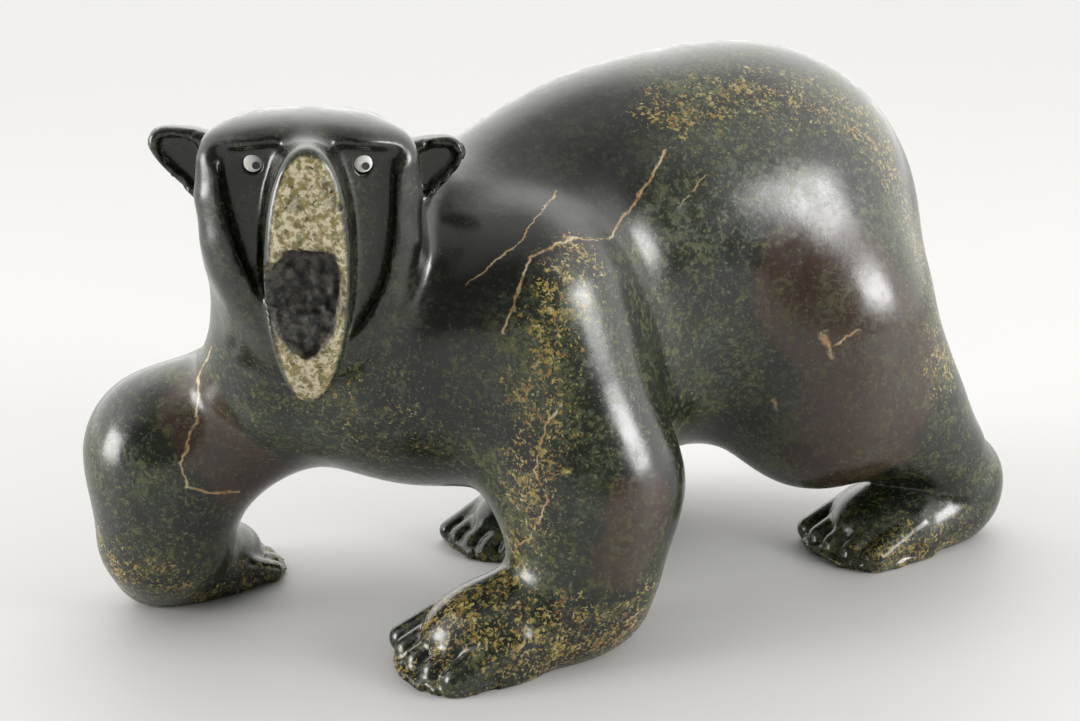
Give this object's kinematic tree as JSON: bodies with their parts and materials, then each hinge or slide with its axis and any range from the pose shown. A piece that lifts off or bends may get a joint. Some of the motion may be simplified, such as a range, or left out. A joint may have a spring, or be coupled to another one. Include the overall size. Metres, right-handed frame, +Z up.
{
  "type": "carved stone bear",
  "caption": "Walking bear carved from polished dark stone, head turned left with open mouth and round inlaid eyes; stands on flat-soled paws.",
  "frame": {"origin": "on the ground, under the middle of the bounding box", "axes": "+X from the head towards the rump along the body, +Y to the bear's right, +Z up; the displayed side faces -Y"},
  "size_m": [0.3598, 0.1802, 0.2063],
  "materials": {
    "polished_stone": "polished dark green serpentine with olive flecks and golden veins",
    "eye_bone": "satin ivory-white inlay",
    "pupil_stone": "dark polished inlay"
  },
  "bodies": {
    "root": {"bear_body": "polished_stone", "eye_right": "eye_bone", "eye_left": "eye_bone", "pupil_right": "pupil_stone", "pupil_left": "pupil_stone"}
  },
  "joints": []
}
